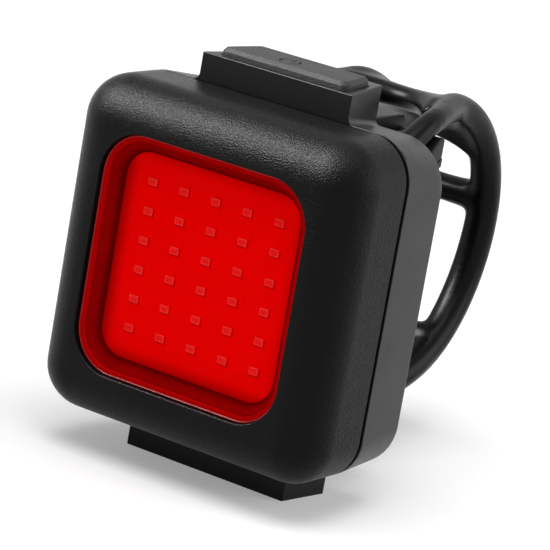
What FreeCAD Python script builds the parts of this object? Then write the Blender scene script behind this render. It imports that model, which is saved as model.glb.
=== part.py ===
import FreeCAD, Part
import math
import os
from FreeCAD import Vector

# Bicycle tail light: a small square lamp with a red window, strapped to a seat post.
# Frame: the lamp shines towards -Y, Z is up and X is to the viewer's right.
# The origin is the middle of the flat foot under the lower boss.
# All lengths are in millimetres.

# Driving dimensions: the case
rim_side = 5.4
rim_above = 5.45
rim_below = 5.8
corner_r = 5.2
corner_step = 0.1
front_depth = 10.2
seam_gap = 0.5
rear_depth = 9.7
rear_side_taper = 1.3
rear_top_taper = 1.3
rear_bottom_flare = 0.4
rear_corner_r = 5.8
rear_edge_r = 0.8
case_wall = 1.6
seal_setback = 0.55
join = 0.5

# Driving dimensions: the window and what is behind it
window_size = 27.6
window_corner_r = 5.2
window_recess = 0.7
front_wall = 2.7
fit_gap = 0.1
lens_thick = 1.2
lens_skirt = 0.45
lens_flange = 1.3
lens_flange_thick = 0.8
lens_edge_chamfer = 0.3
gasket_thick = 0.5
tray_wall_slope = 1.0
tray_floor_depth = 2.4
tray_floor_thick = 0.6
tray_lip = 0.15
led_columns = 5
led_rows = 6
led_pitch_x = 4.29
led_pitch_z = 3.36
led_width = 1.2
led_height = 0.9
led_proud = 0.15
board_thick = 1.0

# Driving dimensions: the two bosses, the button and the port cover
top_boss_length = 20.2
top_boss_taper = 4.4
top_boss_height = 3.2
boss_base_r = 0.8
button_end_step = 1.4
button_back_step = 0.4
button_depth = 6.6
button_inset = 0.9
button_shelf = 2.0
button_proud = 0.95
button_height = 2.8
button_corner_r = 1.0
button_chamfer = 0.45
button_travel = 0.45
button_gap = 0.15
stem_r = 0.9
stem_gap = 0.08
stem_root = 0.3
seal_width = 1.0
seal_thick = 0.4
symbol_r = 1.15
symbol_line = 0.3
symbol_depth = 0.15
symbol_gap = 1.2
symbol_aside = 0.65
symbol_ahead = 0.8
bottom_boss_length = 21.8
bottom_boss_flare = 1.6
bottom_boss_height = 4.2
bottom_boss_reach = 0.9
cover_end_wall = 1.7
cover_depth = 4.2
cover_inset = 1.2
cover_back_wall = 0.9
cover_thick = 1.6
cover_recess = 0.1
cover_gap = 0.1
cover_pin_r = 0.3
cover_pin_gap = 0.05
pull_length = 4.6
pull_reach = 0.85
pull_flat = 0.35
pull_thick = 0.8
nail_gap = 0.5

# Driving dimensions: electronics
foam_thick = 0.6
foam_inset = 1.0
cell_side_inset = 0.9
cell_end_inset = 2.15
cell_thick = 4.6
cell_corner_r = 1.6
control_board_drop = 6.5
control_board_thick = 0.8
control_board_corner_r = 1.5
standoff_r = 1.6
standoff_inset = 2.2
charger_size = (4.0, 4.0, 0.9)
driver_size = (3.0, 3.0, 0.8)
coil_size = (4.0, 4.0, 1.8)
sensor_size = (3.0, 2.0, 0.8)
memory_size = (1.6, 1.6, 0.6)
capacitor_size = (2.0, 1.2, 0.8)
chip_pitch = 6.8
chip_row_gap = 8.0
usb_width = 8.94
usb_thick = 3.2
usb_depth = 7.3
usb_wall = 0.3
usb_back = 1.0
usb_clear = 0.3
usb_tongue_width = 6.7
usb_tongue_thick = 0.7
usb_tongue_set = 0.8
switch_width = 6.0
switch_depth = 3.4
switch_height = 3.0
switch_drop = 0.5
plunger_r = 0.8
plunger_proud = 1.1
plunger_well = 0.9
contact_gap = 0.03
lead_r = 0.5
lead_pitch = 1.8
lead_rise = 1.9
plug_x = -9.0
plug_width = 4.0
plug_depth = 2.4
plug_height = 2.6
plug_drop = 2.4
cable_width = 6.0
cable_thick = 0.3
cable_drop = 1.2
screw_r = 0.8
screw_head_r = 1.45
screw_head_thick = 1.0
screw_post_r = 1.7
screw_aside = 0.8
screw_above = 0.75
screw_below = 1.35
screw_bite = 5.0
screw_end_gap = 0.3
screw_slot_r = 0.6
small_head_thick = 0.7
bracket_screw_bite = 3.6
bracket_screw_low = 12.3
bracket_screw_high = 11.7

# Driving dimensions: the mount block and the strap
post_r = 13.6
post_rise = 2.1
pad_thick = 0.8
saddle_web = 1.2
block_width = 24.4
block_lip = 1.8
block_depth = 8.3
block_edge_r = 0.8
lug_width = 5.6
shelf_slope = 41.0
shelf_rise = 1.4
pin_r = 0.6
pin_gap = 0.05
pin_back = 2.7
pin_drop = 2.9
pin_head_r = 1.1
pin_head_thick = 0.5
strap_r = 1.8
eye_r = 1.9
eye_set = 2.0
root_sets = (0.1, 1.2)
root_backs = (3.1, 8.3)
root_rises = (3.1, 3.4)
bend_share = 0.45
soft_gap = 0.3
strap_post_gap = 1.1
rail_side = 6.5
rail_waist = 1.0
plate_angles = (82.0, 50.0)
plate_rise = 0.7
plate_thick = 2.6
rung_r = 1.7
rung_angles = (14.5, -55.0)
ring_start = 88.0
ring_end = -78.0
ring_steps = 8
link_ahead = 2.3
link_below = 1.9
link_r = 0.6
link_gap = 0.06
link_bite = 0.4
tail_side_set = 1.9
tail_thick = 2.0
tail_barrel_r = 1.6
knuckle_r = 1.85
tail_end_bar = 1.7
tail_slack = 1.15
tail_side_gap = 0.4
hook_width = 4.2
hook_thick = 2.4
hook_back = 3.6
tab_width = 7.0
tab_length = 4.2
tab_thick = 1.5
tab_corner_r = 2.0

# Sizes that follow from others
window_half = window_size / 2
body_width = window_size + 2 * rim_side
body_height = window_size + rim_above + rim_below
front_edge_r = corner_r - corner_step
rear_half_x = body_width / 2 - rear_side_taper
rear_half_z = body_height / 2 - (rear_top_taper - rear_bottom_flare) / 2
top_boss_back_length = top_boss_length - top_boss_taper
top_boss_depth = button_inset + button_depth + button_shelf
button_length = top_boss_length - 2 * button_end_step
button_back_length = top_boss_back_length - 2 * button_back_step
bottom_boss_back_length = bottom_boss_length + bottom_boss_flare
bottom_boss_depth = cover_inset + cover_depth + cover_back_wall
cover_length = bottom_boss_length - 2 * cover_end_wall
led_board_half = window_half + fit_gap
cell_width = 2 * (led_board_half - cell_side_inset)
cell_height = 2 * (led_board_half - cell_end_inset)
screw_side = window_half + screw_aside
control_board_width = 2 * (screw_side - screw_post_r - fit_gap)
saddle_r = post_r + pad_thick
ring_r = post_r + strap_post_gap + strap_r
block_height = 2 * (saddle_r + block_lip)
block_neck_width = block_width - 2 * lug_width
eye_side = block_width / 2 - eye_set
tail_width = 2 * (rail_side - tail_side_set)

# Places worked out from the sizes: Y of the planes from front to back
seam_y = -(cover_inset + cover_depth / 2)
front_back_y = seam_y - seam_gap
front_y = front_back_y - front_depth
window_y = front_y + window_recess
lens_y = window_y + fit_gap
front_wall_y = front_y + front_wall
flange_y = front_wall_y + gasket_thick
flange_back_y = flange_y + lens_flange_thick
tray_floor_y = window_y + tray_floor_depth
tray_floor_back_y = tray_floor_y + tray_floor_thick
led_board_y = max(flange_back_y, tray_floor_back_y) + fit_gap
led_board_back_y = led_board_y + board_thick
cell_y = led_board_back_y + foam_thick
cell_back_y = cell_y + cell_thick
back_y = seam_y + rear_depth
rear_wall_y = back_y - case_wall
usb_y = 0.0
control_board_y = usb_y + usb_thick / 2
control_board_back_y = control_board_y + control_board_thick
stem_y = control_board_y - switch_depth / 2

# Z of the planes from the foot up
cover_foot_z = cover_recess
body_bottom_z = bottom_boss_height
body_mid_z = body_bottom_z + body_height / 2
body_top_z = body_bottom_z + body_height
rear_mid_z = body_mid_z - (rear_top_taper + rear_bottom_flare) / 2
top_boss_z = body_top_z + top_boss_height
window_z = body_bottom_z + rim_below + window_half
button_top_z = top_boss_z + button_proud
button_base_z = button_top_z - button_height
button_floor_z = button_base_z - button_travel - fit_gap
button_front_y = seam_y + button_inset
button_mid_y = button_front_y + button_depth / 2

# The seat post, the strap ring and their pins
post_y = back_y + saddle_web + saddle_r
post_z = window_z + post_rise
block_y = back_y
block_back_y = block_y + block_depth
block_top_z = post_z + block_height / 2
block_foot_z = post_z - block_height / 2
pin_y = back_y + pin_back
pin_z = block_top_z - pin_drop
ring_y = post_y
ring_z = post_z
link_y = ring_y - link_ahead
link_z = ring_z - ring_r - link_below
tail_z = link_z - tail_thick / 2
hook_y = back_y + hook_back


def save(name, shape):
    """Write one sub-part as a STEP file under its own name."""
    if not shape.isValid():
        raise ValueError(name + " is not valid")
    shape.exportStep(os.path.join("parts", name + ".step"))
    print("%-18s solids %2d volume %9.2f" % (name, len(shape.Solids), shape.Volume))


def clean(shape):
    """Give back a plain solid or a compound of solids."""
    solids = shape.Solids
    return solids[0] if len(solids) == 1 else Part.makeCompound(solids)


def box(x0, x1, y0, y1, z0, z1):
    """A block between two corners."""
    return Part.makeBox(x1 - x0, y1 - y0, z1 - z0, Vector(x0, y0, z0))


def rod(radius, length, start, direction):
    """A round bar from a start point along a direction."""
    return Part.makeCylinder(radius, length, Vector(*start), Vector(*direction))


def square_wire(half_x, half_z, radius, y, mid_z):
    """A rounded rectangle in a plane of constant Y, as four lines and four arcs."""
    edges = []
    corners = ((1, 1), (-1, 1), (-1, -1), (1, -1))
    for index, (sx, sz) in enumerate(corners):
        centre = Vector(sx * (half_x - radius), y, mid_z + sz * (half_z - radius))
        first = math.radians(90 * index)
        points = []
        for step in (0, 0.5, 1):
            angle = first + step * math.pi / 2
            points.append(centre + Vector(math.cos(angle), 0, math.sin(angle)) * radius)
        if edges:
            edges.append(Part.LineSegment(last, points[0]).toShape())
        else:
            opening = points[0]
        edges.append(Part.Arc(*points).toShape())
        last = points[2]
    edges.append(Part.LineSegment(last, opening).toShape())
    return Part.Wire(edges)


def square_prism(half_x, half_z, radius, y0, y1, mid_z):
    """A rounded rectangular plate between two planes of constant Y."""
    face = Part.Face(square_wire(half_x, half_z, radius, y0, mid_z))
    return face.extrude(Vector(0, y1 - y0, 0))


def square_taper(first, second):
    """A solid between two rounded rectangles, each given as square_wire takes it."""
    return Part.makeLoft([square_wire(*first), square_wire(*second)], True, True)


def plan_prism(points, z0, z1):
    """A prism on a polygon given in X and Y."""
    corners = [Vector(x, y, z0) for x, y in points]
    return Part.Face(Part.makePolygon(corners + corners[:1])).extrude(Vector(0, 0, z1 - z0))


def side_prism(points, x0, x1):
    """A prism on a polygon given in Y and Z."""
    corners = [Vector(x0, y, z) for y, z in points]
    return Part.Face(Part.makePolygon(corners + corners[:1])).extrude(Vector(x1 - x0, 0, 0))


def trapezium(front_length, back_length, y0, y1, z0, z1):
    """A prism with a long front side and a shorter or longer back side."""
    half, back = front_length / 2, back_length / 2
    return plan_prism([(-half, y0), (half, y0), (back, y1), (-back, y1)], z0, z1)


def edges_where(shape, test):
    """The edges whose middle point passes a test."""
    chosen = []
    for edge in shape.Edges:
        middle = edge.valueAt((edge.FirstParameter + edge.LastParameter) / 2)
        if test(edge, middle):
            chosen.append(edge)
    return chosen


def upright(edge, middle):
    """True for an edge that runs along Z."""
    ends = [vertex.Point for vertex in edge.Vertexes]
    return len(ends) == 2 and (ends[0] - ends[1]).cross(Vector(0, 0, 1)).Length < 1e-6


def tube(points, radius):
    """A round tube along straight runs joined by tangent arcs."""
    route = [Vector(*point) for point in points]
    edges = []
    start = route[0]
    for before, corner, after in zip(route, route[1:], route[2:]):
        run_in, run_out = corner - before, after - corner
        reach = bend_share * min(run_in.Length, run_out.Length)
        a = corner - run_in.normalize() * reach
        b = corner + run_out.normalize() * reach
        half_turn = run_in.getAngle(run_out) / 2
        bend_r = reach / math.tan(half_turn)
        inward = (run_out - run_in).normalize()
        middle = corner + inward * (bend_r / math.cos(half_turn) - bend_r)
        edges.append(Part.LineSegment(start, a).toShape())
        edges.append(Part.Arc(a, middle, b).toShape())
        start = b
    edges.append(Part.LineSegment(start, route[-1]).toShape())
    path = Part.Wire(edges)
    section = Part.Wire([Part.Circle(route[0], route[1] - route[0], radius).toShape()])
    sweep = path.makePipeShell([section], True, True)
    expected = math.pi * radius ** 2 * path.Length
    print("tube volume / section times length: %.4f" % (sweep.Volume / expected))
    return sweep


def screw_places():
    """Middle points of the four case screws, in X and Z, just outside the window's corners."""
    heights = (window_z - window_half - screw_below, window_z + window_half + screw_above)
    return [(side * screw_side, z) for side in (-1, 1) for z in heights]


def front_shell():
    """Grained front half of the case with its soft edge and window opening."""
    half_x, half_z = body_width / 2, body_height / 2
    shell = square_prism(half_x, half_z, corner_r, front_y, front_back_y, body_mid_z)
    rim = edges_where(shell, lambda edge, middle: abs(middle.y - front_y) < 1e-4)
    shell = shell.makeFillet(front_edge_r, rim)
    inner_r = corner_r - case_wall
    cavity = square_prism(half_x - case_wall, half_z - case_wall, inner_r,
                          front_wall_y, front_back_y, body_mid_z)
    opening = square_prism(window_half, window_half, window_corner_r,
                           front_y, front_wall_y, window_z)
    shell = shell.cut(cavity).cut(opening)
    for x, z in screw_places():
        post = rod(screw_post_r, front_back_y - front_wall_y + join, (x, front_wall_y - join, z), (0, 1, 0))
        hole = rod(screw_r, screw_bite, (x, front_back_y - screw_bite, z), (0, 1, 0))
        shell = shell.fuse(post).cut(hole)
    return clean(shell)


def top_boss():
    """Raised block on top that holds the button."""
    root_z = body_top_z - case_wall - rear_top_taper
    boss = trapezium(top_boss_length, top_boss_back_length, seam_y, seam_y + top_boss_depth,
                     root_z, top_boss_z)
    return boss


def bottom_boss():
    """Lower block that holds the charging port and is the foot; its front runs under the front shell."""
    root_z = body_bottom_z + case_wall
    boss_front_y = seam_y - bottom_boss_reach
    block = trapezium(bottom_boss_length, bottom_boss_back_length, boss_front_y,
                      seam_y + bottom_boss_depth, 0, root_z)
    room = box(-bottom_boss_length, bottom_boss_length, boss_front_y, seam_y,
               body_bottom_z - fit_gap, root_z)
    return block.cut(room)


def button_outline(grow, z0, z1):
    """The button's plan, grown all round, between two heights."""
    half, back = button_length / 2 + grow, button_back_length / 2 + grow
    y0, y1 = button_front_y - grow, button_front_y + button_depth + grow
    prism = plan_prism([(-half, y0), (half, y0), (back, y1), (-back, y1)], z0, z1)
    return prism.makeFillet(button_corner_r + grow, edges_where(prism, upright))


def boss_end_foot(edge, middle):
    """True for the edge where an end of the top boss meets the case."""
    on_top = body_top_z - rear_top_taper < middle.z < body_top_z - 1e-4
    beside_boss = top_boss_back_length / 2 < abs(middle.x) < top_boss_length / 2 - 1e-4
    return on_top and beside_boss


def rear_shell():
    """Rear half of the case, tapered, with both bosses and the screw posts."""
    half_x, half_z = body_width / 2, body_height / 2
    shell = square_taper((half_x, half_z, corner_r, seam_y, body_mid_z),
                         (rear_half_x, rear_half_z, rear_corner_r, back_y, rear_mid_z))
    rim = edges_where(shell, lambda edge, middle: abs(middle.y - back_y) < 1e-4)
    shell = shell.makeFillet(rear_edge_r, rim)
    shell = shell.fuse(top_boss()).fuse(bottom_boss())
    shell = shell.makeFillet(boss_base_r, edges_where(shell, boss_end_foot))
    inner_x, inner_z = half_x - case_wall, half_z - case_wall
    cavity = square_taper((inner_x, inner_z, corner_r - case_wall, seam_y, body_mid_z),
                          (rear_half_x - case_wall, rear_half_z - case_wall, rear_corner_r - case_wall,
                           rear_wall_y, rear_mid_z))
    shell = shell.cut(cavity)
    well = button_outline(button_gap, button_floor_z, top_boss_z)
    stem_hole = rod(stem_r + stem_gap, top_boss_height * 3, (0, stem_y, body_top_z - top_boss_height),
                    (0, 0, 1))
    shell = shell.cut(well).cut(stem_hole).cut(seal_seat())
    shell = shell.cut(cover_pocket()).cut(usb_hole()).cut(cover_pin_hole())
    for x, z in screw_places():
        post = rod(screw_post_r, rear_wall_y + join - seam_y, (x, seam_y, z), (0, 1, 0))
        hole = rod(screw_r, back_y - seam_y, (x, seam_y, z), (0, 1, 0))
        sink = rod(screw_head_r + fit_gap, screw_head_thick + fit_gap,
                   (x, back_y - screw_head_thick - fit_gap, z), (0, 1, 0))
        shell = shell.fuse(post).cut(hole).cut(sink)
    for standoff, screw_hole in board_standoffs():
        shell = shell.fuse(standoff).cut(screw_hole)
    for hole in bracket_screw_holes(rear_wall_y - join, back_y + join):
        shell = shell.cut(hole)
    return clean(shell)


def case_seal():
    """Rubber seal in the seam between the shells, set back from the skin."""
    half_x, half_z = body_width / 2, body_height / 2
    outer = square_prism(half_x - seal_setback, half_z - seal_setback, corner_r - seal_setback,
                         front_back_y, seam_y, body_mid_z)
    inner = square_prism(half_x - case_wall, half_z - case_wall, corner_r - case_wall,
                         front_back_y, seam_y, body_mid_z)
    return clean(outer.cut(inner))


def case_screws():
    """Four screws from the back into the front shell."""
    screws = []
    shank = back_y - screw_head_thick - front_back_y + screw_bite - screw_end_gap
    for x, z in screw_places():
        head_y = back_y - screw_head_thick
        head = rod(screw_head_r, screw_head_thick - fit_gap, (x, head_y, z), (0, 1, 0))
        body = rod(screw_r, shank, (x, head_y - shank, z), (0, 1, 0))
        slot = rod(screw_slot_r, screw_slot_r, (x, back_y - screw_slot_r, z), (0, 1, 0))
        screws.append(clean(head.fuse(body).cut(slot)))
    return Part.makeCompound(screws)


def lens():
    """Clear red window: a plate with a skirt and a flange behind the shell."""
    half = window_half - fit_gap
    radius = window_corner_r - fit_gap
    plate = square_prism(half, half, radius, lens_y, flange_back_y, window_z)
    rim = edges_where(plate, lambda edge, middle: abs(middle.y - lens_y) < 1e-4)
    plate = plate.makeChamfer(lens_edge_chamfer, rim)
    flange_half = window_half + lens_flange
    flange = square_prism(flange_half, flange_half, window_corner_r + lens_flange,
                          flange_y, flange_back_y, window_z)
    inner = half - lens_skirt
    hollow = square_prism(inner, inner, radius - lens_skirt, lens_y + lens_thick, flange_back_y, window_z)
    return clean(plate.fuse(flange).cut(hollow))


def lens_gasket():
    """Flat rubber ring between the lens flange and the shell."""
    outer_half = window_half + lens_flange
    outer = square_prism(outer_half, outer_half, window_corner_r + lens_flange,
                         front_wall_y, flange_y, window_z)
    inner_half = window_half + fit_gap
    inner = square_prism(inner_half, inner_half, window_corner_r + fit_gap,
                         front_wall_y, flange_y, window_z)
    return clean(outer.cut(inner))


def led_places():
    """Middle points of the LEDs in X and Z."""
    places = []
    for row in range(led_rows):
        for column in range(led_columns):
            x = (column - (led_columns - 1) / 2) * led_pitch_x
            z = window_z + (row - (led_rows - 1) / 2) * led_pitch_z
            places.append((x, z))
    return places


def light_tray():
    """Red reflector tray with sloping walls and a hole for each LED."""
    outer_half = window_half - 2 * fit_gap - lens_skirt
    outer_r = window_corner_r - 2 * fit_gap - lens_skirt
    tray_y = lens_y + lens_thick + fit_gap
    outer = square_prism(outer_half, outer_half, outer_r, tray_y, tray_floor_back_y, window_z)
    mouth_half, mouth_r = outer_half - tray_lip, outer_r - tray_lip
    floor_half = mouth_half - tray_wall_slope
    hollow = square_taper((mouth_half, mouth_half, mouth_r, tray_y, window_z),
                          (floor_half, floor_half, mouth_r - tray_wall_slope, tray_floor_y, window_z))
    tray = outer.cut(hollow)
    slots = []
    for x, z in led_places():
        wide, tall = led_width / 2 + fit_gap, led_height / 2 + fit_gap
        slots.append(box(x - wide, x + wide, tray_floor_y - join, tray_floor_back_y + join,
                         z - tall, z + tall))
    return clean(tray.cut(Part.makeCompound(slots)))


def led_board():
    """Metal-cored board that carries the LEDs."""
    return square_prism(led_board_half, led_board_half, window_corner_r,
                        led_board_y, led_board_back_y, window_z)


def led_chips():
    """The LEDs, one small block each, standing on the board."""
    chips = []
    for x, z in led_places():
        chips.append(box(x - led_width / 2, x + led_width / 2, tray_floor_y - led_proud, led_board_y,
                         z - led_height / 2, z + led_height / 2))
    return Part.makeCompound(chips)


def battery_cell():
    """Flat lithium cell behind the LED board."""
    return square_prism(cell_width / 2, cell_height / 2, cell_corner_r, cell_y, cell_back_y, window_z)


def battery_foam():
    """Foam pad between the LED board and the cell."""
    half_x, half_z = cell_width / 2 - foam_inset, cell_height / 2 - foam_inset
    return square_prism(half_x, half_z, cell_corner_r, led_board_back_y, cell_y, window_z)


def control_board_z():
    """Bottom and top of the control board."""
    bottom = usb_mouth_z() + usb_depth - usb_back
    return bottom, body_top_z - case_wall - control_board_drop


def control_board():
    """Circuit board on the rear shell's standoffs."""
    z0, z1 = control_board_z()
    half = control_board_width / 2
    board = box(-half, half, control_board_y, control_board_back_y, z0, z1)
    board = board.makeFillet(control_board_corner_r, edges_where(board, along_y))
    for x, z in board_screw_places():
        board = board.cut(rod(screw_r, control_board_thick, (x, control_board_y, z), (0, 1, 0)))
    return clean(board)


def along_y(edge, middle):
    """True for an edge that runs along Y."""
    ends = [vertex.Point for vertex in edge.Vertexes]
    return len(ends) == 2 and (ends[0] - ends[1]).cross(Vector(0, 1, 0)).Length < 1e-6


def board_screw_places():
    """Middle points of the two board screws, in X and Z."""
    z0, z1 = control_board_z()
    side = control_board_width / 2 - standoff_inset
    return [(-side, (z0 + z1) / 2), (side, (z0 + z1) / 2)]


def board_standoffs():
    """Pairs of standoff and screw hole behind the control board."""
    pairs = []
    for x, z in board_screw_places():
        foot = (x, control_board_back_y, z)
        standoff = rod(standoff_r, rear_wall_y + join - control_board_back_y, foot, (0, 1, 0))
        hole = rod(screw_r, rear_wall_y - control_board_back_y, foot, (0, 1, 0))
        pairs.append((standoff, hole))
    return pairs


def board_screws():
    """Two small screws that hold the control board."""
    screws = []
    length = rear_wall_y - control_board_y - screw_end_gap
    for x, z in board_screw_places():
        head = rod(screw_head_r, small_head_thick, (x, control_board_y - small_head_thick, z), (0, 1, 0))
        screws.append(clean(head.fuse(rod(screw_r, length, (x, control_board_y, z), (0, 1, 0)))))
    return Part.makeCompound(screws)


def control_chips():
    """Charger, driver, coil and sensor parts in two rows on the front of the control board."""
    z0, z1 = control_board_z()
    rows = ((charger_size, driver_size, coil_size), (sensor_size, memory_size, capacitor_size))
    chips = []
    for row, sizes in enumerate(rows):
        z = (z0 + z1) / 2 + (row - 0.5) * chip_row_gap
        for column, (wide, tall, thick) in enumerate(sizes):
            x = (column - 1) * chip_pitch
            chips.append(box(x - wide / 2, x + wide / 2, control_board_y - thick, control_board_y,
                             z - tall / 2, z + tall / 2))
    return Part.makeCompound(chips)


def usb_mouth_z():
    """Height of the charging port's mouth, just inside the cover."""
    return cover_foot_z + cover_thick + usb_clear


def usb_hole():
    """Passage through the lower boss for the port."""
    z0 = usb_mouth_z() - join
    return box(-usb_width / 2 - fit_gap, usb_width / 2 + fit_gap, usb_y - usb_thick / 2 - fit_gap,
               usb_y + usb_thick / 2 + fit_gap, z0, z0 + usb_depth + 2 * join)


def usb_socket():
    """Steel shell of the charging port."""
    z0 = usb_mouth_z()
    outer = box(-usb_width / 2, usb_width / 2, usb_y - usb_thick / 2, usb_y + usb_thick / 2,
                z0, z0 + usb_depth)
    round_r = 0.49 * usb_thick
    outer = outer.makeFillet(round_r, edges_where(outer, upright))
    inner = box(-usb_width / 2 + usb_wall, usb_width / 2 - usb_wall, usb_y - usb_thick / 2 + usb_wall,
                usb_y + usb_thick / 2 - usb_wall, z0, z0 + usb_depth - usb_back)
    inner = inner.makeFillet(round_r - usb_wall, edges_where(inner, upright))
    return clean(outer.cut(inner))


def usb_tongue():
    """Contact tongue inside the port."""
    z0 = usb_mouth_z() + usb_tongue_set
    return box(-usb_tongue_width / 2, usb_tongue_width / 2, usb_y - usb_tongue_thick / 2,
               usb_y + usb_tongue_thick / 2, z0, usb_mouth_z() + usb_depth - usb_back)


def tact_switch():
    """Small push switch on the control board, under the button's stem."""
    top = switch_top_z()
    body = box(-switch_width / 2, switch_width / 2, control_board_y - switch_depth, control_board_y,
               top - switch_height, top)
    return body.cut(rod(plunger_r + fit_gap, plunger_well, (0, stem_y, top - plunger_well), (0, 0, 1)))


def switch_top_z():
    """Top face of the switch body, below the control board's top edge."""
    return control_board_z()[1] - switch_drop


def plunger_top_z():
    """Top of the switch plunger at rest."""
    return switch_top_z() + plunger_proud


def switch_plunger():
    """Moving pin of the switch."""
    base = switch_top_z() - plunger_well + button_travel
    return rod(plunger_r, plunger_top_z() - base, (0, stem_y, base), (0, 0, 1))


def power_button():
    """Rubber button with chamfered edges, an engraved symbol and a stem."""
    pad = button_outline(0, button_base_z, button_top_z)
    rim = edges_where(pad, lambda edge, middle: abs(middle.z - button_top_z) < 1e-4)
    pad = pad.makeChamfer(button_chamfer, rim)
    foot = plunger_top_z() + contact_gap
    stem = rod(stem_r, button_base_z + stem_root - foot, (0, stem_y, foot), (0, 0, 1))
    return clean(pad.fuse(stem).cut(power_symbol()))


def power_symbol():
    """Shallow engraved ring with a gap and a short bar, a common on-off mark."""
    z0 = button_top_z - symbol_depth
    mid_x, mid_y = -symbol_aside, button_mid_y - symbol_ahead
    centre = (mid_x, mid_y, z0)
    ring = rod(symbol_r + symbol_line / 2, join, centre, (0, 0, 1))
    ring = ring.cut(rod(symbol_r - symbol_line / 2, join, centre, (0, 0, 1)))
    gap = box(mid_x - symbol_gap / 2, mid_x + symbol_gap / 2, mid_y, mid_y + 2 * symbol_r, z0, z0 + join)
    bar = box(mid_x - symbol_line / 2, mid_x + symbol_line / 2, mid_y + symbol_line,
              mid_y + symbol_r + symbol_line, z0, z0 + join)
    return ring.cut(gap).fuse(bar)


def seal_seat():
    """Round seat in the well's floor for the stem's seal."""
    return rod(stem_r + seal_width, seal_thick, (0, stem_y, button_floor_z - seal_thick), (0, 0, 1))


def stem_seal():
    """Rubber ring round the button's stem, let into the floor of the well."""
    bore = rod(stem_r + stem_gap, 2 * seal_thick, (0, stem_y, button_floor_z - 1.5 * seal_thick), (0, 0, 1))
    return seal_seat().cut(bore)


def cover_pin_place():
    """Hinge pin of the port cover in X and Z."""
    pin_x = cover_length / 2 - cover_thick / 2
    pin_height = cover_foot_z + cover_thick / 2
    return pin_x, pin_height


def cover_pocket():
    """Pocket in the lower boss for the cover, with a scoop for a finger nail at its free end."""
    half_x, half_y = cover_length / 2 + cover_gap, cover_depth / 2 + cover_gap
    pocket = box(-half_x, half_x, -half_y, half_y, -join, cover_foot_z + cover_thick + cover_gap)
    scoop = box(-half_x, pull_length - half_x + 2 * cover_gap, -half_y - pull_reach - nail_gap, 0,
                -join, cover_foot_z + pull_thick + cover_gap)
    return pocket.fuse(scoop)


def cover_pin_hole():
    """Bore through the boss for the cover's hinge pin."""
    pin_x, pin_height = cover_pin_place()
    return rod(cover_pin_r, bottom_boss_depth, (pin_x, seam_y + join, pin_height), (0, 1, 0))


def cover_pin():
    """Steel hinge pin of the port cover."""
    pin_x, pin_height = cover_pin_place()
    length = bottom_boss_depth - 2 * join
    return rod(cover_pin_r, length, (pin_x, seam_y + join, pin_height), (0, 1, 0))


def port_cover():
    """Rubber flap over the charging port, with a pull lip at its free end."""
    pin_x, pin_height = cover_pin_place()
    half_y = cover_depth / 2
    z0, z1 = cover_foot_z, cover_foot_z + cover_thick
    left = -cover_length / 2
    plate = box(left, pin_x, -half_y, half_y, z0, z1)
    barrel = rod(cover_thick / 2, cover_depth, (pin_x, -half_y, pin_height), (0, 1, 0))
    lip_front = -half_y - pull_reach
    lip = plan_prism([(left, join - half_y), (left, lip_front), (left + pull_flat * pull_length, lip_front),
                      (left + pull_length, join - half_y)], z0, z0 + pull_thick)
    bore = rod(cover_pin_r + cover_pin_gap, cover_depth, (pin_x, -half_y, pin_height), (0, 1, 0))
    return clean(plate.fuse(barrel).fuse(lip).cut(bore))


def led_cable():
    """Flat cable from the LED board to the control board."""
    z0 = window_z - cell_height / 2 - cable_drop
    half = cable_width / 2
    return box(-half, half, led_board_back_y, control_board_y, z0 - cable_thick, z0)


def plug_top_z():
    """Top of the socket for the cell's leads."""
    return control_board_z()[1] - plug_drop


def battery_plug():
    """Socket on the control board for the cell's leads."""
    top = plug_top_z()
    return box(plug_x - plug_width / 2, plug_x + plug_width / 2, control_board_y - plug_depth,
               control_board_y, top - plug_height, top)


def battery_leads():
    """Two wires from the cell to the control board."""
    z_cell = window_z + cell_height / 2
    y_cell = (cell_y + cell_back_y) / 2
    y_plug = control_board_y - plug_depth / 2
    leads = []
    for x in (plug_x - lead_pitch / 2, plug_x + lead_pitch / 2):
        points = [(x, y_cell, z_cell), (x, y_cell, z_cell + lead_rise), (x, y_plug, z_cell + lead_rise),
                  (x, y_plug, plug_top_z())]
        leads.append(tube(points, lead_r))
    return Part.makeCompound(leads)


def saddle_profile(grow):
    """A round bar the size of the seat post, grown, through the mount block."""
    return rod(post_r + grow, 3 * block_width, (-1.5 * block_width, post_y, post_z), (1, 0, 0))


def bracket_screw_places():
    """Heights of the two screws that hold the block to the case."""
    return post_z - bracket_screw_low, post_z + bracket_screw_high


def bracket_screw_holes(y0, y1):
    """Round holes for the bracket screws between two planes."""
    return [rod(screw_r, y1 - y0, (0, y0, z), (0, 1, 0)) for z in bracket_screw_places()]


def bracket_screws():
    """Two screws from inside the case into the mount block."""
    screws = []
    for z in bracket_screw_places():
        head = rod(screw_head_r, small_head_thick, (0, rear_wall_y - small_head_thick, z), (0, 1, 0))
        shank = rod(screw_r, case_wall + bracket_screw_bite, (0, rear_wall_y, z), (0, 1, 0))
        screws.append(clean(head.fuse(shank)))
    return Part.makeCompound(screws)


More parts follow.
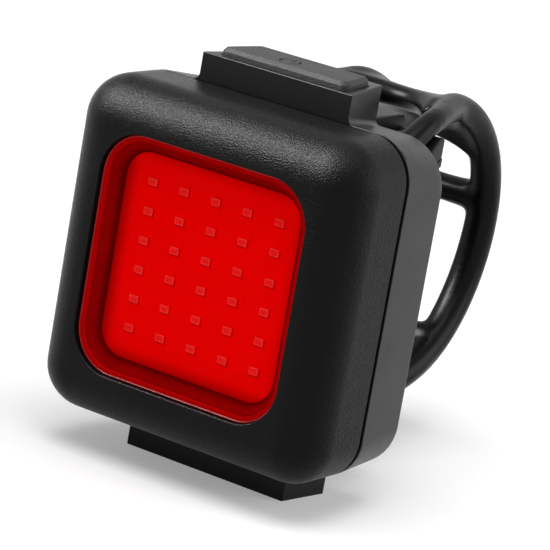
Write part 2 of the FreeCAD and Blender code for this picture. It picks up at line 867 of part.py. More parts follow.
def mount_block():
    """Saddle block on the case's back, with the strap's pin lugs and the hook."""
    half = block_width / 2
    block = box(-half, half, block_y, block_back_y, block_foot_z, block_top_z)
    corners = edges_where(block, lambda edge, middle: abs(middle.y - block_back_y) < 1e-4
                          and abs(middle.x) < half - 1e-4)
    block = block.makeFillet(block_edge_r, corners)
    block = block.cut(saddle_profile(pad_thick))
    slope = math.radians(shelf_slope)
    reach = eye_r + soft_gap
    low_y, low_z = pin_y + reach * math.sin(slope), pin_z - reach * math.cos(slope)
    shelf_z = min(low_z + (block_back_y - low_y) * math.tan(slope), pin_z + shelf_rise)
    shelf_y = low_y + (shelf_z - low_z) / math.tan(slope)
    past_back, past_top, past_front = block_back_y + join, block_top_z + join, block_y - join
    notch = [(low_y, low_z), (shelf_y, shelf_z), (past_back, shelf_z), (past_back, past_top),
             (past_front, past_top), (past_front, pin_z), (pin_y, pin_z)]
    neck = block_neck_width / 2
    for side in (-1, 1):
        x0, x1 = sorted((side * neck, side * (half + join)))
        block = block.cut(side_prism(notch, x0, x1))
        block = block.cut(rod(reach, half + join - neck, (side * neck, pin_y, pin_z), (side, 0, 0)))
    block = block.cut(rod(pin_r, 2 * half, (-half, pin_y, pin_z), (1, 0, 0)))
    block = block.fuse(strap_hook())
    for hole in bracket_screw_holes(block_y - join, block_y + bracket_screw_bite):
        block = block.cut(hole)
    return clean(block)


def strap_hook():
    """Stub under the block that the strap's tail hangs on."""
    half = hook_width / 2
    return box(-half, half, hook_y, hook_y + hook_thick, tail_z, block_foot_z + join)


def saddle_pad():
    """Rubber lining of the saddle, touching the seat post."""
    half = block_width / 2
    band = saddle_profile(pad_thick).cut(saddle_profile(0))
    reach = box(-half, half, block_y, block_back_y, block_foot_z, block_top_z)
    return clean(band.common(reach))


def strap_pin():
    """Steel pin through the block that carries the strap's two eyes."""
    half = eye_side + eye_r + soft_gap / 2
    pin = rod(pin_r, 2 * half, (-half, pin_y, pin_z), (1, 0, 0))
    for side in (-1, 1):
        pin = pin.fuse(rod(pin_head_r, pin_head_thick, (side * half, pin_y, pin_z), (side, 0, 0)))
    return clean(pin)


def ring_point(angle, side, radius):
    """A point of the strap ring at an angle from straight back, in degrees."""
    turn = math.radians(angle)
    x = rail_side - rail_waist * math.cos(turn) ** 2
    return (side * x, ring_y + radius * math.cos(turn), ring_z + radius * math.sin(turn))


def rail_route(side):
    """Route of one rail: from its eye over the block, round the ring, to the link."""
    step = (ring_start - ring_end) / ring_steps
    out_r = ring_r / math.cos(math.radians(step / 2))
    route = [(side * eye_side, pin_y, pin_z)]
    for inward, back, rise in zip(root_sets, root_backs, root_rises):
        route.append((side * (eye_side - inward), pin_y + back, pin_z + rise))
    for index in range(ring_steps):
        route.append(ring_point(ring_start - (index + 0.5) * step, side, out_r))
    route.append((side * rail_side, link_y, link_z))
    return route


def strap_plate():
    """Curved plate that joins the rails at the top of the ring."""
    first, last = plate_angles
    outline = [(ring_y, ring_z)]
    for angle in (first, (first + last) / 2, last):
        outline.append(ring_point(angle, 1, 2 * ring_r)[1:])
    half = ring_point(last, 1, ring_r)[0]
    wedge = side_prism(outline, -half, half)
    axis = ((-half, ring_y, ring_z), (1, 0, 0))
    outer_r = ring_r + plate_rise
    return wedge.common(rod(outer_r, 2 * half, *axis)).cut(rod(outer_r - plate_thick, 2 * half, *axis))


def strap_loop():
    """Silicone strap: two round rails, a plate and two rungs, eyes at the top, knuckles below."""
    strap = None
    for side in (-1, 1):
        rail = tube(rail_route(side), strap_r)
        eye_length = 2 * (strap_r - fit_gap)
        eye = rod(eye_r, eye_length, (side * (eye_side - eye_length / 2), pin_y, pin_z), (side, 0, 0))
        inner = tail_width / 2 + soft_gap
        knuckle = rod(knuckle_r, rail_side + strap_r - inner, (side * inner, link_y, link_z), (side, 0, 0))
        rail = rail.fuse(eye).fuse(knuckle)
        strap = rail if strap is None else strap.fuse(rail)
    for angle in rung_angles:
        x, y, z = ring_point(angle, 1, ring_r)
        strap = strap.fuse(rod(rung_r, 2 * x, (-x, y, z), (1, 0, 0)))
    strap = strap.fuse(strap_plate())
    width = 4 * block_width
    strap = strap.cut(rod(pin_r + pin_gap, width, (-width / 2, pin_y, pin_z), (1, 0, 0)))
    reach = rail_side + link_bite + soft_gap
    strap = strap.cut(rod(link_r + link_gap, 2 * reach, (-reach, link_y, link_z), (1, 0, 0)))
    return clean(strap)


def strap_tail():
    """Free end of the strap: a tongue with an eye for the hook and a finger tab."""
    half = tail_width / 2
    front = hook_y - tail_slack - tail_end_bar
    tongue = box(-half, half, front, link_y, tail_z, tail_z + tail_thick)
    barrel = rod(tail_barrel_r, 2 * half, (-half, link_y, link_z), (1, 0, 0))
    reach = rail_side + link_bite
    trunnion = rod(link_r, 2 * reach, (-reach, link_y, link_z), (1, 0, 0))
    tab = box(-tab_width / 2, tab_width / 2, front, front + tab_thick, tail_z - tab_length, tail_z + join)
    tab = tab.makeFillet(tab_corner_r, edges_where(tab, lambda edge, middle: along_y(edge, middle)
                                                   and middle.z < tail_z))
    eye_half = hook_width / 2 + tail_side_gap
    eye = box(-eye_half, eye_half, hook_y - tail_slack, hook_y + hook_thick + tail_side_gap,
              tail_z - join, tail_z + tail_thick + join)
    return clean(tongue.fuse(barrel).fuse(trunnion).fuse(tab).cut(eye))


def main():
    """Write every sub-part."""
    os.makedirs("parts", exist_ok=True)
    pieces = (front_shell, rear_shell, case_seal, case_screws, lens, lens_gasket, light_tray,
              led_board, led_chips, battery_cell, battery_foam, battery_plug, battery_leads,
              control_board, board_screws, control_chips, led_cable, usb_socket, usb_tongue,
              port_cover, cover_pin, tact_switch, switch_plunger, power_button, stem_seal,
              mount_block, bracket_screws, saddle_pad, strap_pin, strap_loop, strap_tail)
    for piece in pieces:
        save(piece.__name__, piece())


main()
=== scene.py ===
"""Looks of a small square bicycle tail light, built around its packed CAD model."""
import math

import bmesh
import bpy
from mathutils import Matrix, Vector


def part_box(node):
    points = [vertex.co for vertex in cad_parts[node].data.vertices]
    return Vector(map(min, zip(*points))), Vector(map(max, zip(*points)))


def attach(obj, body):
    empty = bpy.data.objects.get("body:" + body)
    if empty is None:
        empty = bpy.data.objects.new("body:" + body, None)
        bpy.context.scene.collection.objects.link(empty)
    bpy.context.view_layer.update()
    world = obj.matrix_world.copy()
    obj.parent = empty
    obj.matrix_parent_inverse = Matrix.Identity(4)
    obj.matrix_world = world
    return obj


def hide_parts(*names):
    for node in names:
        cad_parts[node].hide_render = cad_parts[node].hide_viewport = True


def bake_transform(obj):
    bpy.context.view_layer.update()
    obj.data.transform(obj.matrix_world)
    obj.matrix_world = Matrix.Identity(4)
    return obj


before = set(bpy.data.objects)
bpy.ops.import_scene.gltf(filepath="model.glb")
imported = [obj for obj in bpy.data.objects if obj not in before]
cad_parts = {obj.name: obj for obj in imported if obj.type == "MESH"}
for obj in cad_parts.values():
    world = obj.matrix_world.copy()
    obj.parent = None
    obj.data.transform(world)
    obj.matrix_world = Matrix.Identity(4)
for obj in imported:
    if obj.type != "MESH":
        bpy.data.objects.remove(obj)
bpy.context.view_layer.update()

bl_info = {
    "name": "Bicycle tail light",
    "version": (1, 0, 0),
    "blender": (4, 5, 0),
    "location": "3D View > Sidebar > Tail light",
    "description": "Dresses the CAD model of a square tail light with its moulded and rubber parts",
    "category": "Object",
}

MM = 0.001
MERGE = 2 * MM * MM  # vertices nearer to each other than this are one

# Places taken from the CAD model
FRONT_LO, FRONT_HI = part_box("front_shell")
BODY_MID_Z = (FRONT_LO.z + FRONT_HI.z) / 2
BODY_HALF_X = FRONT_HI.x
BODY_HALF_Z = (FRONT_HI.z - FRONT_LO.z) / 2
BOARD_LO, BOARD_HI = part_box("led_board")
WINDOW_Z = (BOARD_LO.z + BOARD_HI.z) / 2
PAD_LO, PAD_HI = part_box("saddle_pad")
POST_BEHIND_PAD = 14.4 * MM
POST_Y, POST_Z = PAD_LO.y + POST_BEHIND_PAD, (PAD_LO.z + PAD_HI.z) / 2

# Steps of rounded corners and edges, their least radius, and the angle in degrees from which an
# edge of the CAD model is rounded
CORNER_STEPS, FRONT_STEPS, LIP_STEPS = 10, 16, 3
LEAST_RADIUS = 0.05 * MM
SHARP_EDGE = 32.0

# Finishes: how far the roughness strays and its least, and the width and colour of specks of dust
ROUGH_SPREAD, LEAST_ROUGHNESS = 0.05, 0.02
SPECK_WIDTH = 0.35 * MM
DUST_COLOUR = (0.35, 0.34, 0.33)

# Window sections, as pairs in millimetres: inset from the opening, depth behind the flat ring
BEAD = ((0.25, -0.02), (0.15, -0.07), (0.07, -0.04), (0.02, 0.04), (0.06, 0.2), (0.25, 0.2))
RING_COLLAR = ((0.18, 0.0), (0.12, 0.03), (0.10, 0.12), (0.10, 2.5), (-1.3, 2.5), (-1.3, 3.3),
               (0.6, 3.3), (0.6, 0.32))
WALL_TOP = ((0.78, 0.36), (0.86, 0.34), (1.38, 0.95), (1.55, 1.0))
COVER = ((0.76, 0.28), (0.76, 0.06), (0.84, 0.02))
FLOOR_INSET, FLOOR_THICK = 0.8, 0.6

# LEDs: how many, how far apart and how large across and up, the size in millimetres; then the
# frame's width and how deep its middle is pressed in, and the dark plate under each LED, shifted right
# and down, that is a painted shadow
LED_COUNT = (5, 6)
LED_PITCH = (4.29 * MM, 3.36 * MM)
LED_SIZE = (1.15, 0.84)
LED_FRAME, LED_PRESS = 0.2 * MM, -0.04 * MM
PAINTED_SHADOW_SHIFT = (0.10 * MM, -0.07 * MM)
PAINTED_SHADOW_MARGIN = (0.30 * MM, 0.26 * MM)
PAINTED_SHADOW_THICK = 0.03 * MM

# Strap, in millimetres from the seat post's middle: to the side, back and up, then the radius
NEAR_ROOT = ((10.2, -12.9, 13.3, 1.6), (10.5, -10.4, 15.1, 1.5), (10.3, -7.8, 16.2, 1.45),
             (9.4, -4.6, 16.35, 1.5), (7.9, -1.0, 16.35, 1.65))
FAR_ROOT = ((10.2, -12.9, 13.3, 1.6), (10.3, -10.4, 14.7, 1.5), (9.8, -7.6, 16.0, 1.45),
            (8.5, -4.0, 16.2, 1.5), (7.3, -0.9, 16.0, 1.65))
RAIL_TAIL = ((6.0, -2.1, -18.1, 1.6), (4.2, -5.0, -18.4, 1.0))
EYE_PLACE = (8.5, -12.9, 13.3)
EYE_RADIUS, EYE_WIDTH = 1.9 * MM, 3.4 * MM
TONGUE = (((-4.5, -9.0, -19.35), (4.5, -2.3, -17.45)), ((-4.5, -14.8, -19.35), (4.5, -13.15, -17.45)),
          ((-4.5, -14.0, -19.35), (-2.55, -8.0, -17.45)), ((2.55, -14.0, -19.35), (4.5, -8.0, -17.45)),
          ((-3.45, -14.8, -23.5), (3.45, -13.4, -18.6)))

# Strap angles, in degrees round the post from straight back; the rails open away from the waist
RAIL_ANGLES, RAIL_STEPS = (80.0, -74.0), 11
WAIST_ANGLE, OPENING_RATE = -18, 0.92
RUNG_ANGLES = (14.5, -55.0)
PLATE_ANGLES = (82.0, 49.0)

# How much farther out and how much thinner a rail is where it is fully open
RAIL_SWELL, RAIL_THIN = 0.4 * MM, 0.2 * MM

# A rung's places along itself, with the share of its sag and of its radius at each; the sag is in
# millimetres
RUNG_ROUTE = ((-1.0, 0.0, 1.2), (-0.72, 0.35, 1.1), (-0.35, 0.9, 1.0), (0.0, 1.0, 0.98),
              (0.35, 0.9, 1.0), (0.72, 0.35, 1.1), (1.0, 0.0, 1.2))
RUNG_SAG = 0.3

# The plate's bowed edges: angle in the middle, how far the ends swing on, radius in millimetres
FRONT_BOW, BACK_BOW = (81.5, 15.0, 1.30), (49.5, -13.0, 1.25)
BOW_ROUTE = (-1.08, -0.85, -0.55, -0.2, 0.2, 0.55, 0.85, 1.08)

# How far the plate lies inside the ring; in millimetres, how much its top is lifted in the middle
# and how much more at its sides; then the rounds of smoothing for the whole strap
PLATE_SET = 0.2 * MM
PLATE_LIFT, PLATE_DISH = 0.1, 0.5
SMOOTHING = 10

# The floor's white, for seen rays alone, grows between two distances from the lamp
LIFT_NEAR, LIFT_FAR, LIFT_MOST = 0.10, 0.6, 0.9

# Width of the camera's sensor in millimetres
SENSOR = 36.0


def length(name, words, millimetres):
    """A size in metres that a user may change, given here in millimetres."""
    return bpy.props.FloatProperty(name=name, description=words, default=millimetres * MM,
                                   min=0.0, precision=5, subtype="DISTANCE", unit="LENGTH")


def colour(name, words, value):
    """A colour that a user may change."""
    return bpy.props.FloatVectorProperty(name=name, description=words, default=value, size=3,
                                         min=0.0, max=1.0, subtype="COLOR")


def share(name, words, value):
    """A plain number from nothing to one."""
    return bpy.props.FloatProperty(name=name, description=words, default=value,
                                   min=0.0, max=1.0, subtype="FACTOR")


class TaillightCase(bpy.types.PropertyGroup):
    """Sizes and colours of the two case halves, the mount block, the button and the port cover."""
    wall: length("Wall", "Thickness of the case wall", 1.6)
    corner: length("Corner radius", "Radius of the case's corners seen from the front", 5.2)
    front_round: length("Front rounding", "Radius of the soft front edge", 5.1)
    window_corner: length("Window corner", "Radius of the window's corners", 5.2)
    window_half: length("Half window", "Half the width of the window opening", 13.8)
    window_depth: length("Window wall", "Depth of the window opening", 2.7)
    lip_round: length("Lip rounding", "Small rounding of the window's and the seam's edges", 0.14)
    part_edge: length("Part edge", "Rounding of the sharp edges of the rear case", 0.13)
    block_edge: length("Block edge", "Rounding of the mount block's edges", 0.25)
    button_edge: length("Button edge", "Rounding of the button's edges", 0.08)
    cover_edge: length("Cover edge", "Rounding of the port cover's edges", 0.2)
    grain_size: length("Grain size", "Width of one cell of the moulded grain", 0.19)
    grain_depth: length("Grain depth", "Height of the moulded grain", 0.045)
    front_colour: colour("Front colour", "Colour of the grained front half", (0.0035, 0.0035, 0.0036))
    rear_colour: colour("Rear colour", "Colour of the rear half", (0.0060, 0.0060, 0.0062))
    block_colour: colour("Block colour", "Colour of the mount block", (0.0090, 0.0090, 0.0094))
    button_colour: colour("Button colour", "Colour of the button", (0.022, 0.022, 0.023))


class TaillightWindow(bpy.types.PropertyGroup):
    """Sizes and colours of the red window and what shows through it."""
    rim_width: length("Rim width", "Width of the bright flat ring round the window", 0.65)
    rim_set: length("Rim setback", "How far the ring lies behind the front face", 0.7)
    floor_depth: length("Floor depth", "Depth of the red floor behind the ring", 2.4)
    wall_foot: length("Wall foot", "Depth of the sloping walls' lower edge", 1.7)
    floor_colour: colour("Floor colour", "Colour of the red floor", (0.58, 0.0004, 0.0004))
    wall_colour: colour("Wall colour", "Colour of the sloping walls", (0.24, 0.0003, 0.0003))
    rim_colour: colour("Rim colour", "Colour of the flat ring", (0.30, 0.0008, 0.0008))
    chip_colour: colour("LED colour", "Colour of the LED frames", (0.62, 0.022, 0.020))
    chip_edge: length("LED edge", "Rounding of an LED's edges", 0.07)


class TaillightStrap(bpy.types.PropertyGroup):
    """Sizes and colour of the silicone strap."""
    ring: length("Ring radius", "Radius of the rails' centre line at the waist", 16.1)
    rail: length("Rail radius", "Radius of a rail's section at the waist", 2.0)
    side: length("Rail offset", "Distance of a rail from the middle at the waist", 5.35)
    spread: length("Spread", "How much farther apart the rails run at the top", 1.15)
    rung: length("Rung radius", "Radius of a rung's section", 1.7)
    plate_thick: length("Plate", "Thickness of the curved plate at the top", 2.6)
    voxel: length("Voxel", "Size of the voxels that join the strap's parts", 0.3)
    strap_colour: colour("Strap colour", "Colour of the silicone", (0.0020, 0.0020, 0.0021))
    shine: share("Roughness", "Roughness of the silicone", 0.30)


class TaillightStage(bpy.types.PropertyGroup):
    """Light, floor and camera."""
    ambient: share("Ambient", "Level of the soft light from all round", 0.30)
    key: bpy.props.FloatProperty(name="Key lamp", description="Power of the lamp overhead",
                                 default=2.4, min=0.0, unit="POWER")
    side: bpy.props.FloatProperty(name="Side lamp", description="Power of the lamp at the right",
                                  default=1.8, min=0.0, unit="POWER")
    fill: bpy.props.FloatProperty(name="Fill lamp", description="Power of the lamp at the left",
                                  default=0.25, min=0.0, unit="POWER")
    edge: bpy.props.FloatProperty(name="Edge card", default=16.0, min=0.0, unit="POWER",
                                  description="Power of the card that shows in the soft front edge")
    floor_colour: colour("Floor colour", "Colour of the floor", (0.78, 0.78, 0.78))
    floor_lift: share("Floor lift", "White added to the floor near the lamp, for seen rays alone", 0.27)
    azimuth: bpy.props.FloatProperty(name="Azimuth", description="Camera direction round the lamp",
                                     default=math.radians(32.325), subtype="ANGLE", unit="ROTATION")
    elevation: bpy.props.FloatProperty(name="Elevation", description="Camera height angle",
                                       default=math.radians(13.67), subtype="ANGLE", unit="ROTATION")
    roll: bpy.props.FloatProperty(name="Roll", description="Camera roll about its own line of sight",
                                  default=math.radians(9.981), subtype="ANGLE", unit="ROTATION")
    distance: length("Distance", "Distance from the window's middle to the camera's plane", 380.68)
    aside: length("Aside", "Shift of the camera to its right", 9.209)
    lift: length("Lift", "Shift of the camera upwards", 0.371)
    lens: bpy.props.FloatProperty(name="Lens", description="Focal length on a 36 mm sensor",
                                  default=229.09, unit="CAMERA")


# Node groups and materials

def add(tree, kind, **settings):
    """A new node, with its settings and, by name, the values of its sockets."""
    node = tree.nodes.new("ShaderNode" + kind)
    for key, value in settings.items():
        if hasattr(node, key):
            setattr(node, key, value)
        else:
            node.inputs[key.replace("_", " ")].default_value = value
    return node


def mix_colours(tree, factor, first, second, blend="MIX"):
    """A colour mix whose factor is an output and whose colours are outputs or plain colours."""
    node = tree.nodes.new("ShaderNodeMix")
    node.data_type = "RGBA"
    node.blend_type = blend
    tree.links.new(factor, node.inputs[0])
    for socket, value in ((node.inputs[6], first), (node.inputs[7], second)):
        if isinstance(value, bpy.types.NodeSocket):
            tree.links.new(value, socket)
        else:
            socket.default_value = (*value, 1.0)
    return node.outputs[2]


def new_group(name, inputs, outputs):
    """An empty node group with its named sockets; gives the group and its two end nodes."""
    group = bpy.data.node_groups.new(name, "ShaderNodeTree")
    for socket, kind, value in inputs:
        made = group.interface.new_socket(socket, in_out="INPUT", socket_type=kind)
        if value is not None:
            made.default_value = value
    for socket, kind in outputs:
        group.interface.new_socket(socket, in_out="OUTPUT", socket_type=kind)
    return group, group.nodes.new("NodeGroupInput"), group.nodes.new("NodeGroupOutput")


def grain_group():
    """Moulded grain: small cells with soft bottoms, broken up by fine noise."""
    name = "moulded grain"
    if name in bpy.data.node_groups:
        return bpy.data.node_groups[name]
    group, start, end = new_group(
        name,
        [("Vector", "NodeSocketVector", None), ("Density", "NodeSocketFloat", 4000.0),
         ("Roughen", "NodeSocketFloat", 0.5)],
        [("Height", "NodeSocketFloat"), ("Pits", "NodeSocketFloat")])
    links = group.links
    cells = add(group, "TexVoronoi", feature="SMOOTH_F1", Randomness=1.0, Smoothness=0.35)
    links.new(start.outputs["Vector"], cells.inputs["Vector"])
    links.new(start.outputs["Density"], cells.inputs["Scale"])
    double = add(group, "Math", operation="MULTIPLY")
    double.inputs[1].default_value = 1.9
    links.new(start.outputs["Density"], double.inputs[0])
    speck = add(group, "TexNoise", Detail=2.0, Roughness=0.6)
    links.new(start.outputs["Vector"], speck.inputs["Vector"])
    links.new(double.outputs[0], speck.inputs["Scale"])
    scaled = add(group, "Math", operation="MULTIPLY")
    links.new(speck.outputs[0], scaled.inputs[0])
    links.new(start.outputs["Roughen"], scaled.inputs[1])
    total = add(group, "Math", operation="ADD")
    links.new(cells.outputs["Distance"], total.inputs[0])
    links.new(scaled.outputs[0], total.inputs[1])
    links.new(total.outputs[0], end.inputs["Height"])
    pits = add(group, "MapRange", From_Min=0.15, From_Max=0.75)
    links.new(cells.outputs["Distance"], pits.inputs["Value"])
    links.new(pits.outputs["Result"], end.inputs["Pits"])
    return group


def mottle_group():
    """Slow change over a surface: broad clouds and a few fine specks of dust."""
    name = "slow mottle and dust"
    if name in bpy.data.node_groups:
        return bpy.data.node_groups[name]
    group, start, end = new_group(
        name,
        [("Vector", "NodeSocketVector", None), ("Clouds", "NodeSocketFloat", 120.0),
         ("Specks", "NodeSocketFloat", 1600.0)],
        [("Mask", "NodeSocketFloat"), ("Dust", "NodeSocketFloat")])
    links = group.links
    clouds = add(group, "TexNoise", Detail=4.0, Roughness=0.55)
    links.new(start.outputs["Vector"], clouds.inputs["Vector"])
    links.new(start.outputs["Clouds"], clouds.inputs["Scale"])
    spread = add(group, "MapRange", From_Min=0.3, From_Max=0.7)
    links.new(clouds.outputs[0], spread.inputs["Value"])
    links.new(spread.outputs["Result"], end.inputs["Mask"])
    specks = add(group, "TexNoise", Detail=1.0, Roughness=0.5)
    links.new(start.outputs["Vector"], specks.inputs["Vector"])
    links.new(start.outputs["Specks"], specks.inputs["Scale"])
    few = add(group, "MapRange", From_Min=0.68, From_Max=0.80)
    links.new(specks.outputs[0], few.inputs["Value"])
    links.new(few.outputs["Result"], end.inputs["Dust"])
    return group


def window_painted_shade_group():
    """A mask for painted shade: one near the window's outer edge or deep behind its face, and nothing
    elsewhere.
    """
    name = "window fade"
    if name in bpy.data.node_groups:
        return bpy.data.node_groups[name]
    group, start, end = new_group(
        name,
        [("Vector", "NodeSocketVector", None), ("Inner", "NodeSocketFloat", 0.011),
         ("Outer", "NodeSocketFloat", 0.012), ("Near", "NodeSocketFloat", 0.0),
         ("Deep", "NodeSocketFloat", 1.0)],
        [("Mask", "NodeSocketFloat")])
    links = group.links
    parts = add(group, "SeparateXYZ")
    links.new(start.outputs["Vector"], parts.inputs[0])
    aside = add(group, "Math", operation="ABSOLUTE")
    links.new(parts.outputs["X"], aside.inputs[0])
    level = add(group, "Math", operation="SUBTRACT")
    level.inputs[1].default_value = WINDOW_Z
    links.new(parts.outputs["Z"], level.inputs[0])
    above = add(group, "Math", operation="ABSOLUTE")
    links.new(level.outputs[0], above.inputs[0])
    widest = add(group, "Math", operation="MAXIMUM")
    links.new(aside.outputs[0], widest.inputs[0])
    links.new(above.outputs[0], widest.inputs[1])
    across = add(group, "MapRange", interpolation_type="SMOOTHSTEP")
    links.new(widest.outputs[0], across.inputs["Value"])
    links.new(start.outputs["Inner"], across.inputs["From Min"])
    links.new(start.outputs["Outer"], across.inputs["From Max"])
    deep = add(group, "MapRange", interpolation_type="SMOOTHSTEP")
    links.new(parts.outputs["Y"], deep.inputs["Value"])
    links.new(start.outputs["Near"], deep.inputs["From Min"])
    links.new(start.outputs["Deep"], deep.inputs["From Max"])
    either = add(group, "Math", operation="MAXIMUM")
    links.new(across.outputs["Result"], either.inputs[0])
    links.new(deep.outputs["Result"], either.inputs[1])
    links.new(either.outputs[0], end.inputs["Mask"])
    return group


def finish(name, base, roughness, specular=0.5, metallic=0.0, grain=0.1, grain_depth=0.0, roughen=0.5,
           pit_shade=1.0, vary=0.12, cloud=8.0, dust=0.0, painted_glow=0.0, painted_glow_colour=None, alpha=1.0,
           painted_shade=None):
    """A procedural finish. Grain and cloud are widths in millimetres; the rest are plain shares.

    A painted shade holds what a colour falls to, then the two half widths and the two depths it falls
    between; it darkens the colour, and a painted glow with it, where shade falls in the window.
    """
    if name in bpy.data.materials:
        return bpy.data.materials[name]
    material = bpy.data.materials.new(name)
    material.use_nodes = True
    material.diffuse_color = (*base, 1.0)
    tree = material.node_tree
    tree.nodes.clear()
    links = tree.links
    output = add(tree, "OutputMaterial")
    shader = add(tree, "BsdfPrincipled")
    links.new(shader.outputs[0], output.inputs["Surface"])
    shader.inputs["Metallic"].default_value = metallic
    shader.inputs["Specular IOR Level"].default_value = specular
    shader.inputs["Alpha"].default_value = alpha
    # Painted glow: emission that brightens a part that is no lamp, standing in for light on it
    if painted_glow:
        shader.inputs["Emission Color"].default_value = (*(painted_glow_colour or base), 1.0)
        shader.inputs["Emission Strength"].default_value = painted_glow
    place = add(tree, "TexCoord").outputs["Object"]
    slow = tree.nodes.new("ShaderNodeGroup")
    slow.node_tree = mottle_group()
    slow.inputs["Clouds"].default_value = 1 / (cloud * MM)
    slow.inputs["Specks"].default_value = 1 / SPECK_WIDTH
    links.new(place, slow.inputs["Vector"])
    darker = tuple(c * (1 - vary) for c in base)
    lighter = tuple(min(1.0, c * (1 + vary)) for c in base)
    shade = mix_colours(tree, slow.outputs["Mask"], darker, lighter)
    if dust:
        faint = add(tree, "Math", operation="MULTIPLY")
        faint.inputs[1].default_value = dust
        links.new(slow.outputs["Dust"], faint.inputs[0])
        shade = mix_colours(tree, faint.outputs[0], shade, DUST_COLOUR)
    rough = add(tree, "MapRange", To_Min=max(LEAST_ROUGHNESS, roughness - ROUGH_SPREAD),
                To_Max=min(1.0, roughness + ROUGH_SPREAD))
    links.new(slow.outputs["Mask"], rough.inputs["Value"])
    if grain_depth:
        cells = tree.nodes.new("ShaderNodeGroup")
        cells.node_tree = grain_group()
        cells.inputs["Density"].default_value = 1 / (grain * MM)
        cells.inputs["Roughen"].default_value = roughen
        links.new(place, cells.inputs["Vector"])
        bump = add(tree, "Bump", Strength=1.0, Distance=grain_depth * MM)
        links.new(cells.outputs["Height"], bump.inputs["Height"])
        links.new(bump.outputs["Normal"], shader.inputs["Normal"])
        if pit_shade != 1.0:
            shade = mix_colours(tree, cells.outputs["Pits"], shade, (pit_shade,) * 3, "MULTIPLY")
    # Painted shade: the colour darkened near the window's outer edge or deep in its recess
    if painted_shade:
        lowest, *limits = painted_shade
        painted_shade_mask = tree.nodes.new("ShaderNodeGroup")
        painted_shade_mask.node_tree = window_painted_shade_group()
        links.new(place, painted_shade_mask.inputs["Vector"])
        for socket, limit in zip(("Inner", "Outer", "Near", "Deep"), limits):
            painted_shade_mask.inputs[socket].default_value = limit
        least = (lowest,) * 3
        shade = mix_colours(tree, painted_shade_mask.outputs["Mask"], shade, least, "MULTIPLY")
        # The painted glow falls with the painted shade too
        if painted_glow:
            light = mix_colours(tree, painted_shade_mask.outputs["Mask"], painted_glow_colour or base, least, "MULTIPLY")
            links.new(light, shader.inputs["Emission Color"])
    links.new(shade, shader.inputs["Base Color"])
    links.new(rough.outputs["Result"], shader.inputs["Roughness"])
    return material


# Mesh helpers

def outline(bm, half_x, half_z, radius, y, mid_z, keep_face=False):
    """Adds a rounded rectangle in a plane of constant Y, facing the front; gives its edges."""
    verts = bmesh.ops.create_grid(bm, x_segments=1, y_segments=1, size=1)["verts"]
    bmesh.ops.scale(bm, vec=(half_x, half_z, 1), verts=verts)
    bmesh.ops.rotate(bm, cent=(0, 0, 0), matrix=Matrix.Rotation(math.pi / 2, 3, "X"), verts=verts)
    bmesh.ops.translate(bm, vec=(0, y, mid_z), verts=verts)
    made = bmesh.ops.bevel(bm, geom=verts, offset=radius, offset_type="OFFSET", segments=CORNER_STEPS,
                           profile=0.5, affect="VERTICES", clamp_overlap=False, material=-1)
    face = made["verts"][0].link_faces[0]
    edges = list(face.edges)
    if not keep_face:
        bmesh.ops.delete(bm, geom=[face], context="FACES_ONLY")
    return edges


def through(bm, rings, closed=False, caps=(False, False)):
    """A skin through rounded rectangles, one after the other."""
    pairs = list(zip(rings, rings[1:]))
    if closed:
        pairs.append((rings[-1], rings[0]))
    for first, second in pairs:
        bmesh.ops.bridge_loops(bm, edges=outline(bm, *first) + outline(bm, *second))
    for wanted, ring in zip(caps, (rings[0], rings[-1])):
        if wanted:
            outline(bm, *ring, keep_face=True)
    bmesh.ops.remove_doubles(bm, verts=bm.verts, dist=MERGE / 4)
    bmesh.ops.recalc_face_normals(bm, faces=bm.faces)


def round_edge(half_x, half_z, corner, y0, y1, radius, mid_z, steps):
    """Rings of a rounded edge, from the side wall that comes from y0 to the face at y1."""
    turn = 1 if y1 > y0 else -1
    rings = []
    for step in range(steps + 1):
        angle = math.pi / 2 * step / steps
        inset = radius * (1 - math.cos(angle))
        y = y1 - turn * radius * (1 - math.sin(angle))
        rings.append((half_x - inset, half_z - inset, max(corner - inset, LEAST_RADIUS), y, mid_z))
    return rings


def show(bm, name, material, body, nodes=(), sharp=38.0, weighted=True):
    """Turns a bmesh into a shown piece that rides on a body and stands for its nodes."""
    mesh = bpy.data.meshes.new(name)
    bm.to_mesh(mesh)
    bm.free()
    piece = bpy.data.objects.new(name, mesh)
    bpy.context.scene.collection.objects.link(piece)
    for each in material if isinstance(material, (list, tuple)) else [material]:
        mesh.materials.append(each)
    mesh.shade_smooth()
    mesh.set_sharp_from_angle(angle=math.radians(sharp))
    if weighted:
        normals = piece.modifiers.new("Even shading", "WEIGHTED_NORMAL")
        normals.keep_sharp = True
    if body:
        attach(piece, body)
    if nodes:
        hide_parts(*nodes)
    return piece


def softened(node, rounding):
    """A merged copy of a CAD node's mesh with its sharp outer edges rounded."""
    bm = bmesh.new()
    bm.from_mesh(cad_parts[node].data)
    bmesh.ops.remove_doubles(bm, verts=bm.verts, dist=MERGE)
    bmesh.ops.dissolve_limit(bm, angle_limit=math.radians(1.0), use_dissolve_boundaries=False,
                             verts=bm.verts, edges=bm.edges, delimit={"NORMAL"})
    bm.normal_update()
    picked = [edge for edge in bm.edges if edge.is_manifold and edge.is_convex
              and edge.calc_face_angle(0) > math.radians(SHARP_EDGE)]
    bmesh.ops.bevel(bm, geom=picked, offset=rounding, offset_type="OFFSET", segments=2, profile=0.5,
                    affect="EDGES", clamp_overlap=False, material=-1)
    return bm


def dress(node, material):
    """Gives a CAD node that stays its finish."""
    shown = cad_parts[node]
    if not shown.material_slots:
        shown.data.materials.append(material)
    for slot in shown.material_slots:
        slot.material = material


# Finishes that several pieces share

